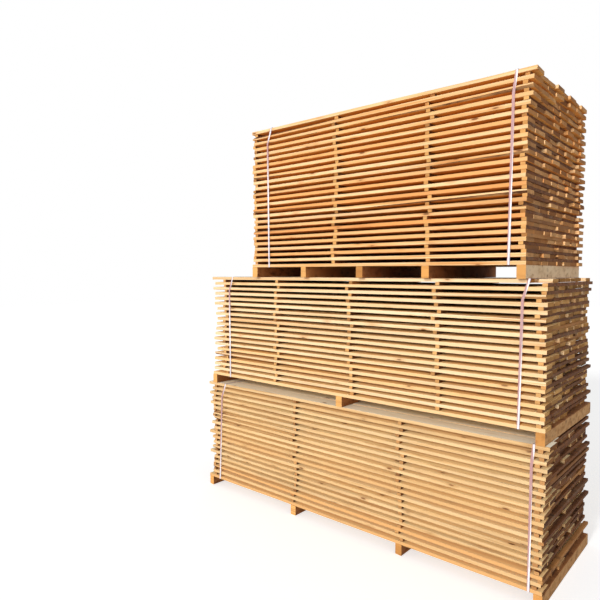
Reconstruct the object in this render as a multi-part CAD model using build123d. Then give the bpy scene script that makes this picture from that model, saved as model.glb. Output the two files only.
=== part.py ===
from build123d import *
from dataclasses import dataclass
import os
import random

os.makedirs("parts", exist_ok=True)

# A tall pile of three stickered packs of sawn boards, the top pack shorter and wider than the other two.
# Sizes in millimetres. X runs along the boards, Y across them, Z up.
# The origin is on the floor, below the middle of the pile.

# Sawn boards, alike in all packs
board_thickness = 24.0
board_joint = 4.0
joint_wander = 18.0
front_end_scatter = 12.0
face_scatter = 6.0

# Wane: where a board was sawn from the outside of the log, one edge slopes away towards one end.
wane_share = 0.2
wane_width = 20.0
wane_depth = 17.0
wane_length = 1500.0

# Stickers: the thin laths that keep the layers apart so that air can pass
sticker_height = 20.0
sticker_width = 28.0
sticker_wander = 22.0
sticker_inset = 12.0

# Bearers: the square-sawn timbers that keep a pack off what it stands on
bearer_width = 50.0

# Straps: two flat bands round the boards of each pack
strap_width = 16.0
strap_thickness = 1.0
# Free space between a strap and a bearer that stands beside it.
strap_clearance = 2.0
# How far below the top boards a strap turns towards the place where it crosses them.
strap_shoulder_depth = 120.0

# How far the topmost boards of the lowest pack stand out past its right-hand end.
lower_overhang = 26.0


@dataclass
class StrapRoute:
    """Distance of one strap from the end of the pack that it is near, from the bottom up."""

    bottom: float
    shoulder: float
    top: float = 0.0
    # Across the top, a strap may follow the nearest bearer of the pack above instead of the pack's end:
    # 1 is to the right of that bearer, -1 to the left of it, with this much free space between them.
    beside_bearer: int = 0
    bearer_gap: float = strap_clearance


@dataclass
class Pack:
    """One strapped pack: its boards, stickers, bearers and bands."""

    name: str
    length: float
    width: float
    layers: int
    boards_across: int
    centre_x: float
    centre_y: float
    bearer_height: float
    # Free space between neighbouring bearers, from the right-hand end; the last one stands at the left end.
    bearer_bays: tuple
    bearer_inset: float
    # Distance of each column of stickers from the right-hand end, and of the last one from the left end.
    sticker_columns: tuple
    last_column: float
    right_strap: StrapRoute
    left_strap: StrapRoute
    # How unevenly the boards' ends line up.
    right_scatter: float
    left_scatter: float
    # How much further out than the front boards' right-hand ends the back boards' ends stand.
    back_reach: float = 0.0
    # How far the front boards of the topmost layers stand out past the right-hand end.
    top_overhang: float = 0.0
    overhanging_layers: int = 0
    # How much shorter the front board of the top layer is.
    short_board: float = 0.0

    @property
    def right(self):
        return self.centre_x + self.length / 2

    @property
    def left(self):
        return self.centre_x - self.length / 2

    @property
    def front(self):
        return self.centre_y - self.width / 2

    @property
    def back(self):
        return self.centre_y + self.width / 2

    @property
    def board_height(self):
        return self.layers * board_thickness + (self.layers - 1) * sticker_height

    @property
    def height(self):
        return self.bearer_height + self.board_height


lower = Pack(
    name="lower",
    length=2883.0,
    width=1000.0,
    layers=20,
    boards_across=8,
    centre_x=-lower_overhang / 2,
    centre_y=0.0,
    bearer_height=75.0,
    bearer_bays=(856.0, 897.0),
    bearer_inset=0.0,
    sticker_columns=(31.0, 931.0, 1879.0),
    last_column=73.0,
    right_strap=StrapRoute(bottom=78.0, shoulder=74.0, beside_bearer=-1),
    left_strap=StrapRoute(bottom=139.0, shoulder=170.0, beside_bearer=1, bearer_gap=92.0),
    right_scatter=42.0,
    left_scatter=58.0,
    back_reach=-24.0,
    top_overhang=lower_overhang,
    overhanging_layers=9,
)

middle = Pack(
    name="middle",
    length=2815.0,
    width=1000.0,
    layers=20,
    boards_across=8,
    centre_x=21.0,
    centre_y=-10.0,
    bearer_height=75.0,
    bearer_bays=(1352.0,),
    bearer_inset=2.0,
    sticker_columns=(37.0, 674.0, 1343.0, 2055.0),
    last_column=159.0,
    right_strap=StrapRoute(bottom=149.0, shoulder=138.0, beside_bearer=1),
    left_strap=StrapRoute(bottom=226.0, shoulder=219.0, top=261.0),
    right_scatter=40.0,
    left_scatter=62.0,
    back_reach=-24.0,
    short_board=115.0,
)

upper = Pack(
    name="upper",
    length=2162.0,
    width=1100.0,
    layers=25,
    boards_across=8,
    centre_x=238.7,
    centre_y=0.0,
    bearer_height=79.0,
    bearer_bays=(542.0, 451.0, 454.0),
    bearer_inset=2.0,
    sticker_columns=(25.0, 606.0, 1336.0),
    last_column=31.0,
    right_strap=StrapRoute(bottom=98.0, shoulder=86.0, top=68.0),
    left_strap=StrapRoute(bottom=187.0, shoulder=172.0, top=215.0),
    right_scatter=28.0,
    left_scatter=26.0,
    back_reach=28.0,
    top_overhang=40.0,
    overhanging_layers=6,
)

# The packs stand on each other in this order, from the floor up.
pile = (lower, middle, upper)


def bar(x_from, x_to, y_from, y_to, z_from, z_to):
    """A straight sawn piece between the given planes."""
    piece = Solid.make_box(x_to - x_from, y_to - y_from, z_to - z_from)
    return piece.moved(Location((x_from, y_from, z_from)))


def board_edges(pack, chance):
    """Where the boards of one layer begin and end across the pack, from front to back."""
    step = pack.width / pack.boards_across
    joints = [pack.front + step * number for number in range(1, pack.boards_across)]
    joints = [place + joint_wander * chance.uniform(-1, 1) for place in joints]
    starts = [pack.front] + [place + board_joint / 2 for place in joints]
    ends = [place - board_joint / 2 for place in joints] + [pack.back]
    return list(zip(starts, ends))


def with_wane(board, number, last_number, chance):
    """The board with a sloping flat on one edge: the outer edge, if the board lies on a face of the pack."""
    box = board.bounding_box()
    end, inward_x = chance.choice([(box.max.X, -1), (box.min.X, 1)])
    edge_z, inward_z = chance.choice([(box.max.Z, -1), (box.min.Z, 1)])
    front_edge = (box.min.Y, 1)
    back_edge = (box.max.Y, -1)
    edge_y, inward_y = chance.choice([front_edge, back_edge])
    if number == 0:
        edge_y, inward_y = front_edge
    if number == last_number:
        edge_y, inward_y = back_edge
    size = chance.uniform(0.5, 1)
    on_face = Vector(end, edge_y + inward_y * wane_width * size, edge_z)
    on_edge = Vector(end, edge_y, edge_z + inward_z * wane_depth * size)
    run_out = Vector(end + inward_x * wane_length * size, edge_y, edge_z)
    normal = (on_edge - on_face).cross(run_out - on_face)
    if normal.dot(box.center() - on_face) < 0:
        normal = -normal
    return split(board, bisect_by=Plane(origin=on_face, z_dir=normal), keep=Keep.TOP).solid()


def overhang(pack, layers_above):
    """How far a layer's front board stands out past the pack's end: most at the top, then less and less."""
    if layers_above >= pack.overhanging_layers:
        return 0.0
    return pack.top_overhang * (1 - layers_above / pack.overhanging_layers)


def board_layer(pack, layer, z_base):
    """The boards of one layer, side by side with open joints and ends that don't quite line up."""
    chance = random.Random(f"{pack.name} layer {layer}")
    layers_above = pack.layers - 1 - layer
    strapped = layer in (0, pack.layers - 1)
    boards = []
    for number, (y_from, y_to) in enumerate(board_edges(pack, chance)):
        at_face = number in (0, pack.boards_across - 1)
        scatter = front_end_scatter if at_face else pack.right_scatter
        across = number / (pack.boards_across - 1)
        right_end = pack.right + overhang(pack, layers_above) * (1 - across) + pack.back_reach * across
        right = right_end - scatter * chance.random()
        left = pack.left + (front_end_scatter if strapped else pack.left_scatter) * chance.random()
        set_back = 0.0 if strapped else face_scatter * chance.random()
        if number == 0:
            y_from += set_back
        if number == pack.boards_across - 1:
            y_to -= set_back
        if strapped and number == 0:
            right = right_end
            left = pack.left
        if layers_above == 0 and number == 0:
            right -= pack.short_board
        board = bar(left, right, y_from, y_to, z_base, z_base + board_thickness)
        if chance.random() < wane_share and not strapped:
            board = with_wane(board, number, pack.boards_across - 1, chance)
        boards.append(board)
    return boards


def sticker_layer(pack, layer, z_base):
    """The stickers that lie across one layer of boards, roughly in line with those above and below."""
    chance = random.Random(f"{pack.name} stickers {layer}")
    stickers = []
    columns = [pack.right - distance for distance in pack.sticker_columns]
    columns.append(pack.left + pack.last_column)
    for column in columns:
        to_end = min(pack.right - column, column - pack.left) - sticker_width / 2
        middle_x = column + min(sticker_wander, to_end) * chance.uniform(-1, 1)
        front = pack.front + sticker_inset * chance.random()
        back = pack.back - sticker_inset * chance.random()
        sides = (middle_x - sticker_width / 2, middle_x + sticker_width / 2)
        stickers.append(bar(*sides, front, back, z_base, z_base + sticker_height))
    return stickers


def bearer_places(pack):
    """Left side of each bearer, from the right-hand one to the left-hand one."""
    places = [pack.right - pack.bearer_inset - bearer_width]
    for bay in pack.bearer_bays:
        places.append(places[-1] - bay - bearer_width)
    places.append(pack.left)
    return places


def bearers(pack, z_base):
    """The bearers, which run the full width of the pack below the bottom boards."""
    z_top = z_base + pack.bearer_height
    return [bar(x, x + bearer_width, pack.front, pack.back, z_base, z_top) for x in bearer_places(pack)]


def strap(pack, z_boards, places):
    """A flat band round all the boards, at its places along X at the bottom, the shoulder and the top."""
    z_top = z_boards + pack.board_height
    heights = [z_boards - strap_thickness, z_top - strap_shoulder_depth, z_top + strap_thickness]
    half = strap_width / 2
    right_side = [(x + half, z) for x, z in zip(places, heights)]
    left_side = [(x - half, z) for x, z in zip(places, heights)]
    face = make_face(Plane.XZ * Polyline(*right_side, *reversed(left_side), close=True))
    slab = extrude(face, amount=pack.width / 2 + strap_thickness, both=True)
    slab = Pos(0, pack.centre_y, 0) * slab
    span = max(places) - min(places) + 2 * strap_width
    middle_x = (max(places) + min(places)) / 2
    inside = Box(span, pack.width, pack.board_height)
    inside = Pos(middle_x, pack.centre_y, z_boards + pack.board_height / 2) * inside
    return slab - inside


def export_pieces(name, pieces):
    """Write like pieces, which don't touch each other, as one named sub-part."""
    export_step(Compound(pieces), f"parts/{name}.step")


def strap_places(pack, above, route, end, toward_middle):
    """Where a strap lies along X at the bottom, the shoulder and the top, from the pack's end inwards."""
    places = [end + toward_middle * route.bottom, end + toward_middle * route.shoulder]
    if not route.beside_bearer:
        return places + [end + toward_middle * route.top]
    bearer_left = bearer_places(above)[0 if toward_middle < 0 else -1]
    bearer_side = bearer_left + bearer_width if route.beside_bearer > 0 else bearer_left
    return places + [bearer_side + route.beside_bearer * (route.bearer_gap + strap_width / 2)]


def export_pack(pack, above, z_base):
    """Write the sub-parts of one pack that stands on the height z_base, below the pack above it."""
    z_boards = z_base + pack.bearer_height
    pitch = board_thickness + sticker_height
    boards = []
    stickers = []
    for layer in range(pack.layers):
        z_layer = z_boards + pitch * layer
        boards += board_layer(pack, layer, z_layer)
        if layer < pack.layers - 1:
            stickers += sticker_layer(pack, layer, z_layer + board_thickness)
    export_pieces(f"{pack.name}_boards", boards)
    export_pieces(f"{pack.name}_stickers", stickers)
    export_pieces(f"{pack.name}_bearers", bearers(pack, z_base))
    right_places = strap_places(pack, above, pack.right_strap, pack.right, -1)
    left_places = strap_places(pack, above, pack.left_strap, pack.left, 1)
    export_step(strap(pack, z_boards, right_places), f"parts/{pack.name}_strap_right.step")
    export_step(strap(pack, z_boards, left_places), f"parts/{pack.name}_strap_left.step")


base_height = 0.0
for pack, above in zip(pile, pile[1:] + (None,)):
    export_pack(pack, above, base_height)
    base_height += pack.height
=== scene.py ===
"""A tall pile of three stickered packs of sawn boards, dressed and lit for a picture."""

from __future__ import annotations

import logging
import math
import random
from collections.abc import Callable, Sequence
from dataclasses import dataclass
from enum import Enum, IntEnum

import bpy
import numpy as np

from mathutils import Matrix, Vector


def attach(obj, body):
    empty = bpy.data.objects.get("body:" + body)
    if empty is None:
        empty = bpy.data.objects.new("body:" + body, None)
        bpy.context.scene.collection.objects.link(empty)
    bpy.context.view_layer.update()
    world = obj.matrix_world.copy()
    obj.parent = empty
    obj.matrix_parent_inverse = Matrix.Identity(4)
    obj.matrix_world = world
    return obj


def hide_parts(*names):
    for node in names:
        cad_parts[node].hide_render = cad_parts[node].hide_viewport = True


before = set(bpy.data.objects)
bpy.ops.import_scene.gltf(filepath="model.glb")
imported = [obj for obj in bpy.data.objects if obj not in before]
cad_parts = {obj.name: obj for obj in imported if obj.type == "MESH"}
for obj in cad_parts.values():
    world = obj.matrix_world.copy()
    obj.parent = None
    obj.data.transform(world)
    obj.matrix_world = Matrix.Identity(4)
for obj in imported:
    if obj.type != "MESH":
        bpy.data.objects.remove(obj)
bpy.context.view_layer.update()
log = logging.getLogger("lumber")

Point = tuple[float, float, float]
Colour = tuple[float, float, float]
Socket = bpy.types.NodeSocket
Feed = Socket | Colour | float
Numbers = dict[str, float | Point]

# Corners and vertices nearer than this to a plane, in metres, lie on it.
SAME_PLACE = 0.0001
# A vertex this near to a ring or an end of a pattern belongs to it.
AT_RING = 0.0005
# Pieces whose heights differ by less than this are in the same layer.
SAME_HEIGHT = 0.001
# A face looks along an axis when its normal has at least this share of it.
FACING = 0.8
# The face that a cut leaves looks along the cut's own normal at least this closely.
IN_CUT = 0.999
# Corners are rounded to this many places of a metre, so that copies of a corner count as one.
CORNER_PLACES = 5
WHITE = (1.0, 1.0, 1.0, 1.0)
# The colour sockets of a Mix node, whose names its other sockets share.
MIX_FIRST, MIX_SECOND, MIX_RESULT = 6, 7, 2


class PackName(Enum):
    """The three packs, from the floor up."""

    LOWER = "lower"
    MIDDLE = "middle"
    UPPER = "upper"


class Surface(IntEnum):
    """Material slots of a sawn piece: edges, ends, bark, weathered, upper and lower faces. On the boards
    the upper and lower faces carry painted light: the upper faces are painted as lit in the gaps, the
    lower faces as bounce glow.
    """

    FACE = 0
    END = 1
    BARK = 2
    WEATHERED = 3
    FLAT = 4
    UNDER = 5


class Lie(Enum):
    """How a sawn piece lies in its pack."""

    ALONG = "along"
    ACROSS = "across"


def linear(colour: Colour) -> tuple[float, float, float, float]:
    """Turn a screen colour into the shader's linear one, by the curve of the sRGB standard.

    Args:
        colour: Red, green and blue as seen on a screen, each from 0 to 255.

    Returns:
        The linear colour with full alpha.
    """
    shares = [channel / 255 for channel in colour]
    return tuple(c / 12.92 if c <= 0.04045 else ((c + 0.055) / 1.055) ** 2.4 for c in shares) + (1.0,)


@dataclass(frozen=True)
class Block:
    """One sawn piece of the frame: its lowest and highest corners, and where its wane was cut."""

    low: Point
    high: Point
    wane: tuple[Point, ...] = ()

    @property
    def size(self) -> Point:
        """Length, width and height."""
        return tuple(h - l for l, h in zip(self.low, self.high))

    @property
    def centre(self) -> Point:
        """Middle of the piece."""
        return tuple((h + l) / 2 for l, h in zip(self.low, self.high))


def box_round(places: Sequence[Point | Vector]) -> tuple[Point, Point]:
    """The lowest and the highest corner of the box round some places."""
    low = tuple(float(min(place[axis] for place in places)) for axis in range(3))
    return low, tuple(float(max(place[axis] for place in places)) for axis in range(3))


def as_block(points: list[Point]) -> Block:
    """Describe one piece by its corners.

    Args:
        points: Every corner of the piece, once each.

    Returns:
        Its block. Corners that aren't those of its box bound a wane.
    """
    low, high = box_round(points)

    def off_the_box(point: Point) -> bool:
        """True for a corner that lies on an edge of the piece's box and not at its end."""
        gaps = [min(point[axis] - low[axis], high[axis] - point[axis]) for axis in range(3)]
        return max(gaps) > SAME_PLACE

    return Block(low, high, tuple(point for point in points if off_the_box(point)))


def blocks_of(node: str) -> list[Block]:
    """Find the separate pieces of a node.

    Args:
        node: Name of a node of the frame, whose pieces don't touch each other.

    Returns:
        One block for each piece, from the bottom up and from front to back.
    """
    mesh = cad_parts[node].data
    points = np.empty(len(mesh.vertices) * 3)
    mesh.vertices.foreach_get("co", points)
    points = points.reshape(-1, 3)
    corners: dict[Point, int] = {}
    names = [corners.setdefault(tuple(np.round(point, CORNER_PLACES)), len(corners)) for point in points]
    leader = list(range(len(corners)))

    def lead(corner: int) -> int:
        """Find the corner that stands for a piece.

        Args:
            corner: Any corner of the piece.

        Returns:
            The corner that stands for it.
        """
        while leader[corner] != corner:
            leader[corner] = leader[leader[corner]]
            corner = leader[corner]
        return corner

    for polygon in mesh.polygons:
        first, *others = (names[index] for index in polygon.vertices)
        for other in others:
            leader[lead(other)] = lead(first)
    pieces: dict[int, list[Point]] = {}
    for corner, number in corners.items():
        pieces.setdefault(lead(number), []).append(tuple(map(float, corner)))
    blocks = map(as_block, pieces.values())
    return sorted(blocks, key=lambda block: (block.low[2], block.low[1], block.low[0]))


def edit(thing: bpy.types.Object) -> None:
    """Select one object alone and open its mesh with nothing selected in it.

    Args:
        thing: The mesh object to work on.
    """
    bpy.ops.object.select_all(action="DESELECT")
    thing.select_set(True)
    bpy.context.view_layer.objects.active = thing
    bpy.ops.object.mode_set(mode="EDIT")
    bpy.ops.mesh.select_all(action="DESELECT")
    bpy.ops.object.mode_set(mode="OBJECT")


def edit_where(thing: bpy.types.Object, kind: str, test: Callable[..., bool]) -> None:
    """Select the vertices, edges or faces of a mesh that pass a test, and open it in edit mode.

    Args:
        thing: The mesh object to work on.
        kind: VERT, EDGE or FACE.
        test: Takes a vertex's place, an edge's two places or a face and returns True to select it.
    """
    edit(thing)
    mesh = thing.data
    if kind == "VERT":
        for vertex in mesh.vertices:
            vertex.select = test(vertex.co)
    elif kind == "EDGE":
        for line in mesh.edges:
            line.select = test(*(mesh.vertices[index].co for index in line.vertices))
    else:
        for face in mesh.polygons:
            face.select = test(face)
    bpy.ops.object.mode_set(mode="EDIT")
    bpy.ops.mesh.select_mode(type=kind)


def leave() -> None:
    """Close the mesh that is being edited."""
    bpy.ops.object.mode_set(mode="OBJECT")


def sawn_blank(name: str, size: Point) -> bpy.types.Object:
    """Add a straight piece of timber at the origin, from the primitive up.

    Args:
        name: Name of the new object.
        size: Its length, width and height.

    Returns:
        The new object, with its size in its mesh.
    """
    bpy.ops.object.select_all(action="DESELECT")
    bpy.ops.mesh.primitive_cube_add(size=1.0, location=(0, 0, 0))
    blank = bpy.context.active_object
    blank.name = name
    blank.scale = size
    bpy.ops.object.transform_apply(location=True, rotation=True, scale=True)
    return blank


def cut_across(thing: bpy.types.Object, places: list[float]) -> None:
    """Cut new rings of edges round a piece, square to its length.

    Args:
        thing: The piece, which lies along X.
        places: Where along X the rings go.
    """
    edit(thing)
    bpy.ops.object.mode_set(mode="EDIT")
    for place in places:
        bpy.ops.mesh.select_all(action="SELECT")
        bpy.ops.mesh.bisect(plane_co=(place, 0, 0), plane_no=(1, 0, 0))
    leave()


def move_ring(thing: bpy.types.Object, place: float, shift: Point) -> None:
    """Move one ring of a piece as a whole.

    Args:
        thing: The piece, which lies along X.
        place: Where the ring is along X.
        shift: How far it moves.
    """
    edit_where(thing, "VERT", lambda point: abs(point.x - place) < AT_RING)
    bpy.ops.transform.translate(value=shift)
    leave()


@dataclass(frozen=True)
class Share:
    """How much a pattern counts: nothing at one of its values, growing to the most at another."""

    start: float
    full: float
    most: float = 1.0


class Sheet:
    """One material's node tree, with short calls for the nodes that the finishes share."""

    def __init__(self, name: str) -> None:
        """Start a material with a principled shader.

        Args:
            name: Name of the material.
        """
        self.material = bpy.data.materials.new(name)
        self.material.use_nodes = True
        self.tree = self.material.node_tree
        self.shader = self.tree.nodes["Principled BSDF"]

    def add(self, kind: str, numbers: Numbers | None = None, **settings: str | bool) -> bpy.types.Node:
        """Add a node.

        Args:
            kind: Blender's name for the kind of node.
            numbers: What its sockets are set to.
            settings: What the node itself is set to.

        Returns:
            The new node.
        """
        node = self.tree.nodes.new(kind)
        for name, value in settings.items():
            setattr(node, name, value)
        for name, number in (numbers or {}).items():
            node.inputs[name].default_value = number
        return node

    def link(self, source: Socket, target: Socket) -> None:
        """Join two sockets."""
        self.tree.links.new(source, target)

    def feed(self, target: Socket, value: Feed) -> None:
        """Give a socket a link, a screen colour or a plain number.

        Args:
            target: The socket to set.
            value: A socket, a screen colour or a number.
        """
        if isinstance(value, Socket):
            self.link(value, target)
        elif target.type == "RGBA":
            target.default_value = linear(value)
        else:
            target.default_value = value

    def surface(self, colour: Feed, roughness: float, gloss: float) -> None:
        """Set the shader itself.

        Args:
            colour: Its colour, as a socket or a screen colour.
            roughness: From 0, polished, to 1.
            gloss: The level of its specular reflection.
        """
        self.feed(self.shader.inputs["Base Color"], colour)
        self.shader.inputs["Roughness"].default_value = roughness
        self.shader.inputs["Specular IOR Level"].default_value = gloss

    def object_place(self) -> Socket:
        """Object coordinates, in metres."""
        return self.add("ShaderNodeTexCoord").outputs["Object"]

    def own_place(self, shift: Point) -> tuple[Socket, dict[str, Socket]]:
        """Shift the coordinates for each piece, so that no two pieces show the same grain.

        Args:
            shift: How far the piece's tone may shift them, in metres.

        Returns:
            The shifted coordinates, and the piece's tone as Red, Green and Blue.
        """
        tone = self.add("ShaderNodeAttribute", attribute_name="board_tone").outputs["Color"]
        parts = self.add("ShaderNodeSeparateColor")
        self.link(tone, parts.inputs["Color"])
        shifted = self.add("ShaderNodeVectorMath", operation="MULTIPLY_ADD")
        self.link(tone, shifted.inputs[0])
        shifted.inputs[1].default_value = shift
        self.link(self.object_place(), shifted.inputs[2])
        return shifted.outputs["Vector"], {name: parts.outputs[name] for name in ("Red", "Green", "Blue")}

    def mapping(self, source: Socket, scale: Point) -> Socket:
        """Stretch coordinates.

        Args:
            source: The coordinates.
            scale: How many units of the pattern go into a metre along each axis.

        Returns:
            The stretched coordinates.
        """
        node = self.add("ShaderNodeMapping", {"Scale": scale})
        self.link(source, node.inputs["Vector"])
        return node.outputs["Vector"]

    def noise(self, source: Socket, scale: Point, detail: float, roughness: float) -> Socket:
        """Make cloudy noise.

        Args:
            source: The coordinates.
            scale: How many clouds go into a metre along each axis.
            detail: How many finer noises are added.
            roughness: How strong the finer ones are.

        Returns:
            A number from 0 to 1.
        """
        numbers = {"Scale": 1.0, "Detail": detail, "Roughness": roughness}
        node = self.add("ShaderNodeTexNoise", numbers)
        self.link(self.mapping(source, scale), node.inputs["Vector"])
        return node.outputs["Fac"]

    def wave(self, source: Socket, kind: str, numbers: Numbers) -> Socket:
        """Make bands across X or rings round it.

        Args:
            source: The coordinates.
            kind: BANDS or RINGS.
            numbers: How close and how crooked they are.

        Returns:
            A number from 0 to 1.
        """
        node = self.add("ShaderNodeTexWave", numbers, wave_type=kind)
        self.link(source, node.inputs["Vector"])
        return node.outputs["Fac"]

    def cells(self, source: Socket) -> tuple[Socket, Socket]:
        """Scatter one point in each cell of a grid.

        Args:
            source: The coordinates, one cell to a unit.

        Returns:
            The distance from the nearest point, and a random number that goes with it.
        """
        node = self.add("ShaderNodeTexVoronoi", {"Scale": 1.0}, voronoi_dimensions="3D", feature="F1")
        self.link(source, node.inputs["Vector"])
        lot = self.add("ShaderNodeSeparateColor")
        self.link(node.outputs["Color"], lot.inputs["Color"])
        return node.outputs["Distance"], lot.outputs["Red"]

    def share(self, source: Socket, share: Share) -> Socket:
        """Turn a pattern into the share of a colour.

        Args:
            source: The pattern.
            share: Where it starts to count, where it counts in full and how much that is.

        Returns:
            A number from 0 to the most.
        """
        numbers = {"From Min": share.start, "From Max": share.full, "To Min": 0.0, "To Max": share.most}
        node = self.add("ShaderNodeMapRange", numbers, clamp=True)
        self.link(source, node.inputs["Value"])
        return node.outputs["Result"]

    def math(self, operation: str, first: Feed, second: Feed) -> Socket:
        """Work on two numbers.

        Args:
            operation: Blender's name for what is done.
            first: A socket or a number.
            second: A socket or a number.

        Returns:
            The result.
        """
        node = self.add("ShaderNodeMath", operation=operation)
        self.feed(node.inputs[0], first)
        self.feed(node.inputs[1], second)
        return node.outputs["Value"]

    def weighted(self, parts: list[tuple[Socket, float]]) -> Socket:
        """Add up patterns.

        Args:
            parts: Each pattern and its weight.

        Returns:
            The sum.
        """
        total, *others = [self.math("MULTIPLY", pattern, weight) for pattern, weight in parts]
        for other in others:
            total = self.math("ADD", total, other)
        return total

    def mix(self, share: Feed, first: Feed, second: Feed) -> Socket:
        """Blend two colours.

        Args:
            share: How much of the second one shows.
            first: A socket or a screen colour.
            second: A socket or a screen colour.

        Returns:
            The blend.
        """
        node = self.add("ShaderNodeMix", data_type="RGBA")
        self.feed(node.inputs["Factor"], share)
        self.feed(node.inputs[MIX_FIRST], first)
        self.feed(node.inputs[MIX_SECOND], second)
        return node.outputs[MIX_RESULT]

    def ramp(self, source: Socket, stops: list[tuple[float, Colour]]) -> Socket:
        """Run a number through a row of colours.

        Args:
            source: The number.
            stops: Each screen colour, after the number that it stands at.

        Returns:
            The colour.
        """
        node = self.add("ShaderNodeValToRGB")
        self.link(source, node.inputs["Fac"])
        elements = node.color_ramp.elements
        while len(elements) < len(stops):
            elements.new(0.5)
        for element, (position, colour) in zip(elements, stops):
            element.position = position
            element.color = linear(colour)
        return node.outputs["Color"]

    def bump(self, height: Socket, strength: float, distance: float) -> None:
        """Raise the surface.

        Args:
            height: How high it is, from 0 to 1.
            strength: How much of that shows.
            distance: How high 1 is, in metres.
        """
        node = self.add("ShaderNodeBump", {"Strength": strength, "Distance": distance})
        self.link(height, node.inputs["Height"])
        self.link(node.outputs["Normal"], self.shader.inputs["Normal"])


@dataclass(frozen=True)
class SawnFinish:
    """Rough-sawn wood, seen along the grain: its tones, streaks, knots, stains and saw marks."""

    name: str
    pale: Colour
    warm: Colour
    dark: Colour
    rich: Colour = (232, 164, 94)
    rich_most: float = 0.5
    knot: Colour = (122, 70, 34)
    weather: Colour = (170, 150, 122)
    weather_most: float = 0.35
    streaks_a_metre: float = 30.0
    knot_spread: Point = (5.0, 12.0, 18.0)
    knots_kept: float = 0.42
    darker_boards: Share = Share(0.5, 1.0, 0.3)
    warmer_boards: Share = Share(0.35, 0.85)
    mottle: Share = Share(0.50, 0.78, 0.55)
    stain: Share = Share(0.36, 0.24, 0.6)
    fibres: Share = Share(0.58, 0.95, 0.28)
    knot_halo: Share = Share(0.30, 0.12, 0.5)
    knot_heart: Share = Share(0.13, 0.075, 0.9)
    saw_relief: float = 0.35
    fibre_relief: float = 0.65
    knot_relief: float = -0.3
    roughness: float = 0.82

    def material(self) -> bpy.types.Material:
        """Build the shader.

        Returns:
            A material that reads Object coordinates and the piece's own board_tone attribute.
        """
        sheet = Sheet(self.name)
        own, tone = sheet.own_place((7.0, 9.0, 11.0))
        streak_scale = (1.1, self.streaks_a_metre, self.streaks_a_metre * 2.0)
        streaks = sheet.noise(own, streak_scale, detail=5.0, roughness=0.6)
        fine = sheet.noise(own, (8.0, 240.0, 400.0), detail=3.0, roughness=0.7)
        broad = sheet.noise(own, (2.2, 5.0, 7.0), detail=3.0, roughness=0.55)
        patches = sheet.noise(own, (1.6, 12.0, 12.0), detail=4.0, roughness=0.65)
        # The grain, then the board's own tone: Green darkens it, Red warms it, and the reddest are rich.
        colour = sheet.ramp(streaks, [(0.27, self.dark), (0.41, self.warm), (0.54, self.pale)])
        colour = sheet.mix(sheet.share(tone["Green"], self.darker_boards), colour, self.dark)
        colour = sheet.mix(sheet.share(tone["Red"], self.warmer_boards), colour, self.warm)
        richest = Share(0.84, 0.92, self.rich_most)
        colour = sheet.mix(sheet.share(tone["Red"], richest), colour, self.rich)
        # What varies along the board.
        colour = sheet.mix(sheet.share(broad, self.mottle), colour, self.warm)
        colour = sheet.mix(sheet.share(broad, self.stain), colour, self.dark)
        colour = sheet.mix(sheet.share(fine, self.fibres), colour, self.dark)
        # Knots, in some of the cells only.
        cells, lot = sheet.cells(sheet.mapping(own, self.knot_spread))
        kept = sheet.share(lot, Share(self.knots_kept, self.knots_kept + 0.02))
        halo = sheet.math("MULTIPLY", sheet.share(cells, self.knot_halo), kept)
        heart = sheet.math("MULTIPLY", sheet.share(cells, self.knot_heart), kept)
        colour = sheet.mix(heart, sheet.mix(halo, colour, self.dark), self.knot)
        # Grey patches, most on the boards that Blue makes old.
        greyed = sheet.share(patches, Share(0.45, 0.75, self.weather_most))
        colour = sheet.mix(sheet.math("MULTIPLY", greyed, tone["Blue"]), colour, self.weather)
        sheet.surface(colour, self.roughness, gloss=0.25)
        saw = sheet.wave(own, "BANDS", {"Scale": 62.0, "Distortion": 2.2})
        relief = [(saw, self.saw_relief), (fine, self.fibre_relief), (heart, self.knot_relief)]
        sheet.bump(sheet.weighted(relief), strength=0.5, distance=0.0012)
        return sheet.material


@dataclass(frozen=True)
class EndGrainFinish:
    """The sawn ends of boards: growth rings, checks and dust, darker than the faces."""

    name: str
    pale: Colour
    warm: Colour
    dark: Colour
    warmer_boards: Share = Share(0.25, 0.75)
    darker_boards: Share = Share(0.6, 0.95, 0.8)
    dust: Share = Share(0.45, 0.75, 0.6)
    checks: Share = Share(0.66, 0.74, 0.6)
    ring_relief: float = 0.4
    fuzz_relief: float = 0.6

    def material(self) -> bpy.types.Material:
        """Build the shader.

        Returns:
            A material that reads Object coordinates and the piece's own board_tone attribute.
        """
        sheet = Sheet(self.name)
        own, tone = sheet.own_place((7.0, 0.6, 0.35))
        crooked = {"Scale": 55.0, "Distortion": 3.5, "Detail": 3.0, "Detail Scale": 1.5}
        rings = sheet.wave(own, "RINGS", crooked)
        broad = sheet.noise(own, (3.0, 9.0, 30.0), detail=4.0, roughness=0.6)
        cracks = sheet.noise(own, (2.0, 120.0, 14.0), detail=2.0, roughness=0.5)
        fuzz = sheet.noise(own, (400.0, 400.0, 400.0), detail=2.0, roughness=0.6)
        colour = sheet.ramp(rings, [(0.1, self.warm), (0.8, self.pale)])
        colour = sheet.mix(sheet.share(tone["Green"], self.warmer_boards), colour, self.warm)
        colour = sheet.mix(sheet.share(tone["Blue"], self.darker_boards), colour, self.dark)
        colour = sheet.mix(sheet.share(broad, self.dust), colour, self.dark)
        colour = sheet.mix(sheet.share(cracks, self.checks), colour, self.dark)
        sheet.surface(colour, roughness=0.9, gloss=0.2)
        relief = [(rings, self.ring_relief), (fuzz, self.fuzz_relief)]
        sheet.bump(sheet.weighted(relief), strength=0.5, distance=0.001)
        return sheet.material


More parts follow.
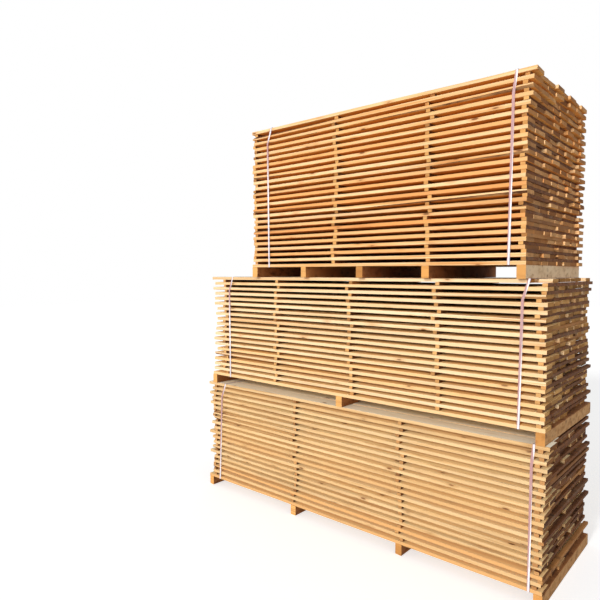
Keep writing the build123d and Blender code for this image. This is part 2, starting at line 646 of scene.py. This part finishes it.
@dataclass(frozen=True)
class BarkFinish:
    """The outside of the log on a waney edge: brown inner bark with flakes of the outer bark."""

    name: str
    inner: Colour
    outer: Colour
    bare: Colour
    worn: Share = Share(0.44, 0.6)
    barer_boards: Share = Share(0.4, 0.9, 0.6)

    def material(self) -> bpy.types.Material:
        """Build the shader.

        Returns:
            A material that reads Object coordinates and the piece's own board_tone attribute.
        """
        sheet = Sheet(self.name)
        own, tone = sheet.own_place((5.0, 7.0, 9.0))
        flakes = sheet.noise(own, (26.0, 90.0, 90.0), detail=5.0, roughness=0.7)
        rubbed = sheet.noise(own, (3.0, 10.0, 10.0), detail=3.0, roughness=0.6)
        bark = sheet.ramp(flakes, [(0.38, self.outer), (0.56, self.inner)])
        older = sheet.share(tone["Blue"], self.barer_boards)
        gone = sheet.math("ADD", sheet.share(rubbed, self.worn), older)
        colour = sheet.mix(sheet.share(gone, Share(0.0, 1.0)), bark, self.bare)
        sheet.surface(colour, roughness=0.92, gloss=0.2)
        sheet.bump(flakes, strength=0.8, distance=0.0025)
        return sheet.material


@dataclass(frozen=True)
class BandFinish:
    """The pale smooth band of a strap: white along its middle, with painted shade at both edges, pinkish
    on the left and bluish on the right, and a little dusty.
    """

    name: str
    # left and right are painted shade at the band's two edges.
    left: Colour
    middle: Colour
    right: Colour
    dust: Colour
    dusty: Share = Share(0.45, 0.8, 0.6)

    def material(self) -> bpy.types.Material:
        """Build the shader.

        Returns:
            A material that reads Object coordinates and the band's own band_side attribute.
        """
        sheet = Sheet(self.name)
        place = sheet.object_place()
        side = sheet.add("ShaderNodeAttribute", attribute_name="band_side").outputs["Fac"]
        # Painted shade across the band: its two edges are painted darker, warm on one and bluish on the
        # other.
        stops = [(0.05, self.left), (0.35, self.middle), (0.6, self.middle), (0.95, self.right)]
        clouds = sheet.noise(place, (14.0, 14.0, 14.0), detail=4.0, roughness=0.6)
        colour = sheet.mix(sheet.share(clouds, self.dusty), sheet.ramp(side, stops), self.dust)
        sheet.surface(colour, roughness=0.42, gloss=0.5)
        ridges = sheet.wave(place, "BANDS", {"Scale": 180.0, "Distortion": 0.0})
        sheet.bump(ridges, strength=0.25, distance=0.0004)
        return sheet.material


@dataclass(frozen=True)
class Cut:
    """How roughly the pieces of a kind are sawn, and how many rings of vertices show it."""

    rings: int
    arris: float
    bow: float
    thinning: float
    end_slant: float


@dataclass
class TimberPattern:
    """One sawn piece along X, modelled once at its usual size, that pieces of a pack are copied from."""

    name: str
    size: Point
    cut: Cut
    seed: int
    ring_wander: float = 0.25
    lower_thinning: float = 0.5

    def build(self) -> bpy.types.Object:
        """Shape the piece from a primitive.

        Returns:
            The finished pattern, centred on the origin.
        """
        chance = random.Random(self.seed)
        blank = sawn_blank(self.name, self.size)
        self.take_off_arrises(blank)
        length = self.size[0]
        step = length / (self.cut.rings + 1)
        places = [-length / 2 + step * (number + 1) for number in range(self.cut.rings)]
        places = [place + step * chance.uniform(-self.ring_wander, self.ring_wander) for place in places]
        cut_across(blank, places)
        for place in places:
            move_ring(blank, place, (0.0, chance.uniform(-1, 1) * self.cut.bow, 0.0))
            self.thin_ring(blank, place, 1, chance.random())
            self.thin_ring(blank, place, -1, chance.random() * self.lower_thinning)
        for end in (-1, 1):
            self.slant_end(blank, end, chance)
        self.mark_ends(blank)
        return blank

    def take_off_arrises(self, blank: bpy.types.Object) -> None:
        """Take the sharpness off the long edges.

        Args:
            blank: The piece, which lies along X.
        """

        def long_edge(first: Vector, second: Vector) -> bool:
            """True for the edges that run along the piece."""
            return abs(first.x - second.x) > self.size[0] / 2

        edit_where(blank, "EDGE", long_edge)
        bpy.ops.mesh.bevel(offset=self.cut.arris, segments=1, affect="EDGES")
        leave()

    def thin_ring(self, blank: bpy.types.Object, place: float, side: int, share: float) -> None:
        """Move the upper or lower side of one ring inwards, where the saw cut the piece thinner.

        Args:
            blank: The piece.
            place: Where the ring is along X.
            side: 1 for the upper side and -1 for the lower one.
            share: How much of the most thinning it gets.
        """

        def on_side(point: Vector) -> bool:
            """True for the ring's points on that side."""
            return abs(point.x - place) < AT_RING and point.z * side > 0

        edit_where(blank, "VERT", on_side)
        bpy.ops.transform.translate(value=(0.0, 0.0, -side * share * self.cut.thinning))
        leave()

    def slant_end(self, blank: bpy.types.Object, end: int, chance: random.Random) -> None:
        """Move the corners of one end a little inwards, as a rough crosscut leaves them.

        Args:
            blank: The piece.
            end: 1 for the right-hand end and -1 for the left-hand one.
            chance: Where the unevenness comes from.
        """
        lean = chance.choice((-1, 1))
        amount = self.cut.end_slant * chance.random()

        def far_side(point: Vector) -> bool:
            """True for the side of the end that is cut back."""
            return point.x * end > self.size[0] / 2 - AT_RING and point.y * lean > 0

        edit_where(blank, "VERT", far_side)
        bpy.ops.transform.translate(value=(-end * amount, 0.0, 0.0))
        leave()

    def mark_ends(self, blank: bpy.types.Object) -> None:
        """Give the two sawn ends, the upper face and the lower face their own slots, so that the upper
        and lower faces can carry painted light.

        Args:
            blank: The piece.
        """
        for _ in Surface:
            blank.data.materials.append(None)
        assign(blank, Surface.END, lambda face: abs(face.normal.x) > FACING)
        assign(blank, Surface.FLAT, lambda face: face.normal.z > FACING)
        assign(blank, Surface.UNDER, lambda face: face.normal.z < -FACING)


def assign(
    piece: bpy.types.Object, surface: Surface, test: Callable[[bpy.types.MeshPolygon], bool]
) -> None:
    """Give the faces that pass a test one of the material slots.

    Args:
        piece: The sawn piece.
        surface: The slot.
        test: Takes a face and returns True for those that get it.
    """
    edit_where(piece, "FACE", test)
    piece.active_material_index = surface.value
    bpy.ops.object.material_slot_assign()
    leave()


def turn_across(piece: bpy.types.Object) -> None:
    """Turn a pattern that lies along X so that it lies along Y.

    Args:
        piece: The pattern, centred on the origin.
    """
    bpy.ops.object.select_all(action="DESELECT")
    piece.select_set(True)
    bpy.context.view_layer.objects.active = piece
    piece.rotation_euler = (0.0, 0.0, math.pi / 2)
    bpy.ops.object.transform_apply(location=True, rotation=True, scale=True)


@dataclass(frozen=True)
class Fit:
    """How one copy of a pattern is set into its block."""

    turn: int
    tone: Colour
    thickness: float = 1.0


def fitted_copy(pattern: bpy.types.Object, size: Point, block: Block, fit: Fit) -> bpy.types.Object:
    """Copy a pattern with its own mesh and fit it to one block of the frame.

    Args:
        pattern: The piece to copy, centred on the origin.
        size: Its usual size.
        block: Where the copy goes.
        fit: Whether it is turned end for end, its own tone and its share of the full thickness.

    Returns:
        The new object, with its place in its mesh.
    """
    piece = pattern.copy()
    piece.data = pattern.data.copy()
    bpy.context.scene.collection.objects.link(piece)
    mesh = piece.data
    points = np.empty(len(mesh.vertices) * 3)
    mesh.vertices.foreach_get("co", points)
    points = points.reshape(-1, 3) * np.array((fit.turn, fit.turn, 1.0))
    points = points * np.array(block.size) / np.array(size)
    half = np.array(block.size) / 2
    points = np.clip(points, -half, half)
    points[:, 2] = (points[:, 2] + half[2]) * fit.thickness - half[2]
    mesh.vertices.foreach_set("co", (points + np.array(block.centre)).ravel())
    tones = mesh.attributes.new("board_tone", "FLOAT_COLOR", "POINT")
    tones.data.foreach_set("color", np.tile((*fit.tone, 1.0), len(mesh.vertices)))
    mesh.update()
    if block.wane:
        cut_wane(piece, block)
    return piece


def cut_wane(piece: bpy.types.Object, block: Block) -> None:
    """Cut the log's outside off one edge of a board, and mark the cut as bark.

    Args:
        piece: The board, already in its place.
        block: Its block, with the three corners of the cut.
    """
    first, second, third = (Vector(corner) for corner in block.wane)
    normal = (second - first).cross(third - first).normalized()
    if normal.dot(Vector(block.centre) - first) > 0:
        normal = -normal
    edit(piece)
    bpy.ops.object.mode_set(mode="EDIT")
    bpy.ops.mesh.select_mode(type="FACE")
    bpy.ops.mesh.select_all(action="SELECT")
    bpy.ops.mesh.bisect(plane_co=first, plane_no=normal, use_fill=True, clear_outer=True)
    leave()
    assign(piece, Surface.BARK, lambda face: face.normal.dot(normal) > IN_CUT)


def join_as(
    name: str, pieces: list[bpy.types.Object], finishes: dict[Surface, bpy.types.Material]
) -> bpy.types.Object:
    """Join like pieces into one object.

    Args:
        name: Name of the joined object.
        pieces: The pieces, each with its place in its mesh.
        finishes: The material of each slot.

    Returns:
        The joined object, at the origin.
    """
    bpy.ops.object.select_all(action="DESELECT")
    for piece in pieces:
        for surface, finish in finishes.items():
            piece.data.materials[surface.value] = finish
        piece.select_set(True)
    bpy.context.view_layer.objects.active = pieces[0]
    bpy.ops.object.join()
    joined = bpy.context.active_object
    joined.name = name
    joined.data.name = name
    bpy.ops.object.material_slot_remove_unused()
    return joined


@dataclass
class SawnPieces:
    """Sawn pieces of one pack that are alike, each copied from a few patterns and fitted to its place."""

    pack: PackName
    face: SawnFinish
    end: EndGrainFinish
    kind: str = "boards"
    slot: str = "board"
    lie: Lie = Lie.ALONG
    patterns: int = 7
    cut: Cut = Cut(rings=6, arris=0.0018, bow=0.005, thinning=0.0028, end_slant=0.006)
    thinnest: float = 1.0
    first_seed: int = 11

    def build(self) -> bpy.types.Object:
        """Build, place and dress the pieces.

        Returns:
            The pieces as one object.
        """
        node = f"{self.pack.value}_{self.kind}"
        blocks = blocks_of(node)
        usual = tuple(float(np.median([block.size[axis] for block in blocks])) for axis in range(3))
        shapes = [self.pattern(number, usual) for number in range(self.patterns)]
        chance = random.Random(node)
        highest = max(block.high[2] for block in blocks)
        pieces = []
        for block in blocks:
            drawn = (chance.random(), chance.random(), chance.random())
            tone = self.own_tone(drawn, block.high[2] > highest - SAME_HEIGHT)
            fit = Fit(chance.choice((-1, 1)), tone, chance.uniform(self.thinnest, 1.0))
            pieces.append(fitted_copy(chance.choice(shapes), usual, block, fit))
        self.finish_pieces(blocks, pieces)
        for shape in shapes:
            bpy.data.objects.remove(shape)
        joined = join_as(f"{self.pack.value}_pack_{self.kind}", pieces, self.finishes())
        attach(joined, "root")
        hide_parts(node)
        return joined

    def pattern(self, number: int, usual: Point) -> bpy.types.Object:
        """Model one pattern.

        Args:
            number: Which of the patterns it is.
            usual: The usual size of the pieces along X, Y and Z.

        Returns:
            The pattern, lying as the pieces do.
        """
        name = f"{self.pack.value}_{self.kind}_pattern_{number}"
        lying = usual if self.lie is Lie.ALONG else (usual[1], usual[0], usual[2])
        shape = TimberPattern(name, lying, self.cut, seed=self.first_seed + number).build()
        if self.lie is Lie.ACROSS:
            turn_across(shape)
        return shape

    def own_tone(self, drawn: Colour, on_top: bool) -> Colour:
        """Give a piece the tone that was drawn for it."""
        return drawn

    def finish_pieces(self, blocks: list[Block], pieces: list[bpy.types.Object]) -> None:
        """Leave the pieces as they were cut."""

    def finishes(self) -> dict[Surface, bpy.types.Material]:
        """The materials of the long faces and the sawn ends.

        Returns:
            The material of each slot.
        """
        face = self.face.material()
        end = self.end.material()
        return {Surface.FACE: face, Surface.END: end, Surface.FLAT: face, Surface.UNDER: face}


@dataclass
class Boards(SawnPieces):
    """The boards of one pack, some with a waney edge, the topmost ones greyed by the weather; their upper
    and lower faces carry painted light, and the lower pack's top is also painted near white as lit.
    """

    # flat and under are painted light: the upper faces painted as lit in the gaps, the lower faces as
    # bounce glow.
    flat: SawnFinish | None = None
    under: SawnFinish | None = None
    top: SawnFinish | None = None
    bark: BarkFinish | None = None
    thinnest: float = 0.93
    top_warmth: float = 0.4

    def __post_init__(self) -> None:
        """Take the pack's own slot."""
        self.slot = f"{self.pack.value}_board"

    def own_tone(self, drawn: Colour, on_top: bool) -> Colour:
        """Keep the boards of the top layer pale, by less of the warmth that was drawn."""
        return (drawn[0] * self.top_warmth, drawn[1], drawn[2]) if on_top else drawn

    def finish_pieces(self, blocks: list[Block], pieces: list[bpy.types.Object]) -> None:
        """Mark the upper faces of the top layer.

        Args:
            blocks: Where the boards are.
            pieces: The boards, in the same order.
        """
        highest = max(block.high[2] for block in blocks)
        for block, piece in zip(blocks, pieces):
            if block.high[2] > highest - SAME_HEIGHT:
                assign(piece, Surface.WEATHERED, lambda face: face.normal.z > FACING)

    def finishes(self) -> dict[Surface, bpy.types.Material]:
        """The materials of the edges, ends, upper and lower faces with their painted light, bark and
        weathered top.

        Returns:
            The material of each slot.
        """
        finishes = super().finishes()
        finishes[Surface.FLAT] = self.flat.material()
        finishes[Surface.UNDER] = self.under.material()
        finishes[Surface.BARK] = self.bark.material()
        finishes[Surface.WEATHERED] = self.top.material()
        return finishes


@dataclass
class Stickers(SawnPieces):
    """The stickers of one pack, which lie across it."""

    kind: str = "stickers"
    slot: str = "sticker"
    lie: Lie = Lie.ACROSS
    patterns: int = 4
    cut: Cut = Cut(rings=4, arris=0.0012, bow=0.0008, thinning=0.0004, end_slant=0.004)


@dataclass
class Bearers(SawnPieces):
    """The bearers of one pack, which lie across it, the outermost weathered on their outer sides; on the
    upper pack those sides are also painted lighter as lit, and the other long faces are painted dark as
    shade.
    """

    kind: str = "bearers"
    slot: str = "bearer"
    lie: Lie = Lie.ACROSS
    patterns: int = 3
    cut: Cut = Cut(rings=5, arris=0.002, bow=0.0008, thinning=0.0004, end_slant=0.005)
    outer: SawnFinish | None = None

    def finish_pieces(self, blocks: list[Block], pieces: list[bpy.types.Object]) -> None:
        """Mark the outer sides of the first and the last bearer.

        Args:
            blocks: Where the bearers are.
            pieces: The bearers, in the same order.
        """
        lengthwise = sorted(zip(blocks, pieces), key=lambda pair: pair[0].low[0])
        assign(lengthwise[0][1], Surface.WEATHERED, lambda face: face.normal.x < -FACING)
        assign(lengthwise[-1][1], Surface.WEATHERED, lambda face: face.normal.x > FACING)

    def finishes(self) -> dict[Surface, bpy.types.Material]:
        """The materials of the long faces, the ends and the outer sides.

        Returns:
            The material of each slot.
        """
        finishes = super().finishes()
        finishes[Surface.WEATHERED] = self.outer.material()
        return finishes


def across_strap(first: Vector, second: Vector) -> bool:
    """True for an edge from one side of a strap to the other, along X alone."""
    return max(abs(first.y - second.y), abs(first.z - second.z)) < SAME_PLACE


@dataclass
class Straps:
    """The two flat bands round each pack, eased at their bends."""

    finish: BandFinish
    bend: float = 0.0009
    bend_steps: int = 3
    merged_below: float = 0.00002
    flat_below: float = 0.5

    def build(self) -> list[bpy.types.Object]:
        """Build every strap from its node.

        Returns:
            One object for each strap.
        """
        material = self.finish.material()
        nodes = [name for name in sorted(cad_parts) if "_strap_" in name]
        return [self.band(node, material) for node in nodes]

    def band(self, node: str, material: bpy.types.Material) -> bpy.types.Object:
        """Shape one strap.

        Args:
            node: The node of the frame that it stands for.
            material: What it is made of.

        Returns:
            The strap, in the place of its node.
        """
        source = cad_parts[node]
        band = source.copy()
        band.data = source.data.copy()
        band.name = f"{node}_band"
        band.data.name = band.name
        band.hide_render = False
        bpy.context.scene.collection.objects.link(band)
        edit(band)
        bpy.ops.object.mode_set(mode="EDIT")
        bpy.ops.mesh.select_all(action="SELECT")
        bpy.ops.mesh.remove_doubles(threshold=self.merged_below)
        bpy.ops.mesh.dissolve_limited(angle_limit=math.radians(self.flat_below))
        leave()
        self.ease_bends(band)
        self.mark_sides(band)
        band.data.materials.clear()
        band.data.materials.append(material)
        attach(band, "root")
        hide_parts(node)
        return band

    def ease_bends(self, band: bpy.types.Object) -> None:
        """Round the outer bends of a strap, where it turns over the boards.

        Args:
            band: The strap.
        """
        low, high = box_round([vertex.co for vertex in band.data.vertices])

        def at_bend(first: Vector, second: Vector) -> bool:
            """True for the edges across the strap at the four corners of its box."""
            inside = max(min(first[axis] - low[axis], high[axis] - first[axis]) for axis in (1, 2))
            return inside < SAME_PLACE and across_strap(first, second)

        edit_where(band, "EDGE", at_bend)
        bpy.ops.mesh.bevel(offset=self.bend, segments=self.bend_steps, affect="EDGES")
        leave()

    def mark_sides(self, band: bpy.types.Object) -> None:
        """Write which edge of the band each vertex is on: 0 is the left-hand one and 1 the other.

        Args:
            band: The strap.
        """
        mesh = band.data
        sides = [0.0] * len(mesh.vertices)
        for line in mesh.edges:
            first, second = sorted(line.vertices, key=lambda index: mesh.vertices[index].co.x)
            if across_strap(mesh.vertices[first].co, mesh.vertices[second].co):
                sides[second] = 1.0
        mesh.attributes.new("band_side", "FLOAT", "POINT").data.foreach_set("value", sides)


def seen_directly(tree: bpy.types.NodeTree) -> Socket:
    """Tell the rays of the camera and of gloss and glass from those that light the pile.

    Args:
        tree: The node tree that asks.

    Returns:
        A socket that is 1 for such a ray and 0 for any other.
    """
    rays = tree.nodes.new("ShaderNodeLightPath")
    socket = rays.outputs["Is Camera Ray"]
    for name in ("Is Glossy Ray", "Is Transmission Ray"):
        either = tree.nodes.new("ShaderNodeMath")
        either.operation = "MAXIMUM"
        tree.links.new(socket, either.inputs[0])
        tree.links.new(rays.outputs[name], either.inputs[1])
        socket = either.outputs["Value"]
    return socket


@dataclass(frozen=True)
class Lamp:
    """One far lamp in front of the pile: degrees above the horizon and to the right, and strength."""

    height: float
    to_right: float
    strength: float


@dataclass
class Studio:
    """Floor, light and camera."""

    camera_place: Point = (2.3669, -3.6810, 1.9002)
    camera_turn: float = 40.79
    camera_tilt: float = 2.77
    focal_pixels: float = 550.19
    picture_pixels: float = 600.0
    sensor: float = 36.0
    floor_size: float = 60.0
    floor_grey: Colour = (226, 226, 226)
    floor_lift: float = 0.5
    sky_strength: float = 0.5
    lamps: tuple[Lamp, ...] = (Lamp(11.0, 5.0, 1.0), Lamp(23.0, 1.0, 1.5))
    lamp_softness: float = 5.0

    def build(self) -> None:
        """Set up everything that isn't the pile itself."""
        self.build_floor()
        self.build_world()
        self.build_lamps()
        self.build_camera()
        bpy.context.scene.view_settings.view_transform = "Standard"

    def build_floor(self) -> None:
        """Lay a plain pale floor."""
        bpy.ops.object.select_all(action="DESELECT")
        bpy.ops.mesh.primitive_plane_add(size=self.floor_size, location=(0, 0, 0))
        floor = bpy.context.active_object
        floor.name = "studio_floor"
        sheet = Sheet("studio_floor")
        sheet.surface(self.floor_grey, roughness=0.9, gloss=0.0)
        sheet.shader.inputs["Emission Color"].default_value = WHITE
        lift = sheet.share(seen_directly(sheet.tree), Share(0.0, 1.0, self.floor_lift))
        sheet.link(lift, sheet.shader.inputs["Emission Strength"])
        floor.data.materials.append(sheet.material)

    def build_world(self) -> None:
        """Make an even pale surrounding that looks white to the camera."""
        world = bpy.data.worlds.new("studio_world")
        bpy.context.scene.world = world
        world.use_nodes = True
        tree = world.node_tree
        background = tree.nodes["Background"]
        strength = tree.nodes.new("ShaderNodeMapRange")
        tree.links.new(seen_directly(tree), strength.inputs["Value"])
        strength.inputs["To Min"].default_value = self.sky_strength
        strength.inputs["To Max"].default_value = 1.0
        tree.links.new(strength.outputs["Result"], background.inputs["Strength"])
        background.inputs["Color"].default_value = WHITE

    def build_lamps(self) -> None:
        """Light the front from two heights, so that the light reaches in between the boards."""
        for number, lamp in enumerate(self.lamps):
            data = bpy.data.lights.new(f"lamp_{number}", "SUN")
            data.energy = lamp.strength
            data.angle = math.radians(self.lamp_softness)
            light = bpy.data.objects.new(f"lamp_{number}", data)
            bpy.context.scene.collection.objects.link(light)
            light.rotation_euler = (math.radians(90.0 - lamp.height), 0.0, math.radians(lamp.to_right))

    def build_camera(self) -> None:
        """Stand the camera to the right of the pile's front, at the height of the upper bearers."""
        data = bpy.data.cameras.new("camera")
        data.sensor_width = self.sensor
        data.lens = self.sensor * self.focal_pixels / self.picture_pixels
        camera = bpy.data.objects.new("camera", data)
        bpy.context.scene.collection.objects.link(camera)
        camera.location = self.camera_place
        tilt = math.radians(90.0 - self.camera_tilt)
        camera.rotation_euler = (tilt, 0.0, math.radians(self.camera_turn))
        bpy.context.scene.camera = camera


@dataclass(frozen=True)
class PackFinishes:
    """What the pieces of one pack are finished with."""

    edge: SawnFinish
    # flat and under are painted light: the upper faces painted as lit in the gaps, the lower faces as
    # bounce glow.
    flat: SawnFinish
    under: SawnFinish
    top: SawnFinish
    end: EndGrainFinish
    sticker_end: EndGrainFinish
    bearer_outer: SawnFinish


# Painted light: the undersides are painted pale, as the bounce glow under each layer, and they throw more
# bounce light on the pack below.
LOWER_UNDER_PAINTED_BOUNCE = SawnFinish("lower_board_undersides_painted_bounce", (255, 222, 158), (248, 202, 132), (200, 150, 88))
LOWER_BEARER_OUTER = SawnFinish(
    "lower_bearer_outer", (214, 164, 108), (182, 130, 76), (122, 78, 42),
    streaks_a_metre=16.0, weather_most=0.2,
)
UPPER = PackFinishes(
    edge=SawnFinish(
        "upper_board_edges", (252, 212, 158), (240, 182, 116), (200, 130, 66),
        rich=(236, 154, 80), rich_most=0.7,
    ),
    # Painted glow: the upper and lower faces of the upper pack are painted orange, as the light bounced
    # between its boards.
    flat=SawnFinish("upper_board_flats_painted_light", (254, 204, 124), (244, 178, 92), (204, 132, 56)),
    under=SawnFinish("upper_board_undersides_painted_bounce", (252, 190, 100), (238, 160, 72), (190, 114, 44)),
    top=SawnFinish(
        "upper_pack_top", (226, 206, 172), (206, 182, 144), (170, 146, 114),
        weather_most=0.7, rich_most=0,
    ),
    end=EndGrainFinish("upper_board_ends", (236, 184, 126), (184, 126, 72), (112, 64, 28)),
    sticker_end=EndGrainFinish("upper_sticker_ends", (240, 188, 118), (216, 156, 90), (154, 98, 50)),
    # The outer sides of the end bearers are grey with weathering and painted lighter still as lit.
    bearer_outer=SawnFinish(
        "upper_bearer_outer_weathered_and_painted_light", (242, 214, 176), (224, 192, 152), (172, 138, 102),
        streaks_a_metre=16.0, weather_most=0.2,
    ),
)
MIDDLE = PackFinishes(
    edge=SawnFinish(
        "middle_board_edges", (254, 226, 182), (248, 207, 154), (212, 159, 102),
        rich=(242, 188, 116),
    ),
    # Painted light: the upper faces are painted lighter, as the faces that the lamps light in the gaps.
    flat=SawnFinish(
        "middle_board_flats_painted_light", (255, 231, 176), (254, 216, 150), (218, 166, 100),
        rich=(248, 200, 126),
    ),
    under=LOWER_UNDER_PAINTED_BOUNCE,
    top=SawnFinish(
        "middle_pack_top", (222, 206, 178), (202, 182, 150), (166, 146, 118),
        weather_most=0.7, rich_most=0,
    ),
    end=EndGrainFinish("middle_board_ends", (244, 194, 124), (192, 138, 76), (116, 72, 30)),
    sticker_end=EndGrainFinish("middle_sticker_ends", (240, 190, 124), (214, 158, 96), (150, 98, 54)),
    bearer_outer=LOWER_BEARER_OUTER,
)
LOWER = PackFinishes(
    edge=SawnFinish(
        "lower_board_edges", (239, 202, 149), (224, 181, 124), (187, 141, 88),
        weather_most=0.5,
    ),
    # Painted light: the upper faces are painted lighter, as the faces that the lamps light in the gaps.
    flat=SawnFinish(
        "lower_board_flats_painted_light", (255, 234, 184), (252, 219, 160), (220, 172, 112),
        rich=(246, 200, 136), weather_most=0.2,
    ),
    under=LOWER_UNDER_PAINTED_BOUNCE,
    # The weathered top is painted near white, lighter than weathered wood, as painted light.
    top=SawnFinish(
        "lower_pack_top_weathered_and_painted_light", (253, 250, 232), (248, 238, 214), (214, 200, 174),
        weather_most=0.2, rich_most=0,
    ),
    # Painted shade: the board ends are painted darker than those of the other packs, and the sticker ends
    # partly darker, as the shade on this pack.
    end=EndGrainFinish("lower_board_ends_painted_shade", (172, 118, 68), (122, 76, 38), (70, 36, 14)),
    sticker_end=EndGrainFinish("lower_sticker_ends_painted_shade", (222, 170, 110), (190, 136, 84), (124, 78, 42)),
    bearer_outer=LOWER_BEARER_OUTER,
)
FINISHES = {PackName.LOWER: LOWER, PackName.MIDDLE: MIDDLE, PackName.UPPER: UPPER}
# Painted shade: the stickers' long faces are painted dark brown, as the shade in the gaps between the
# layers.
STICKER_FACE_PAINTED_SHADE = SawnFinish("sticker_faces_painted_shade", (128, 78, 40), (98, 56, 26), (58, 30, 12))
# Painted shade: the bearers' long faces are painted dark brown, as the shade in the fork-ways under each
# pack.
BEARER_FACE_PAINTED_SHADE = SawnFinish(
    "bearer_faces_painted_shade", (176, 118, 70), (146, 92, 50), (96, 56, 28),
    streaks_a_metre=16.0, weather_most=0.2,
)
BEARER_END = EndGrainFinish("bearer_ends", (242, 188, 118), (230, 164, 90), (166, 110, 58))
BARK = BarkFinish("waney_edge_bark", (142, 94, 58), (84, 54, 36), (206, 156, 102))
BAND = BandFinish("strap_band", (186, 140, 138), (252, 248, 250), (138, 130, 160), (204, 180, 176))


def main() -> None:
    """Build the pile pack by pack, then the studio, and report each piece."""
    logging.basicConfig(level=logging.INFO, format="%(name)s: %(message)s")
    built = []
    for pack in PackName:
        own = FINISHES[pack]
        boards = Boards(pack, own.edge, own.end, flat=own.flat, under=own.under, top=own.top, bark=BARK)
        built.append(boards.build())
        built.append(Stickers(pack, STICKER_FACE_PAINTED_SHADE, own.sticker_end).build())
        built.append(Bearers(pack, BEARER_FACE_PAINTED_SHADE, BEARER_END, outer=own.bearer_outer).build())
    built += Straps(BAND).build()
    for piece in built:
        log.info("%s has %d faces", piece.name, len(piece.data.polygons))
    Studio().build()


if __name__ == "__main__":
    main()
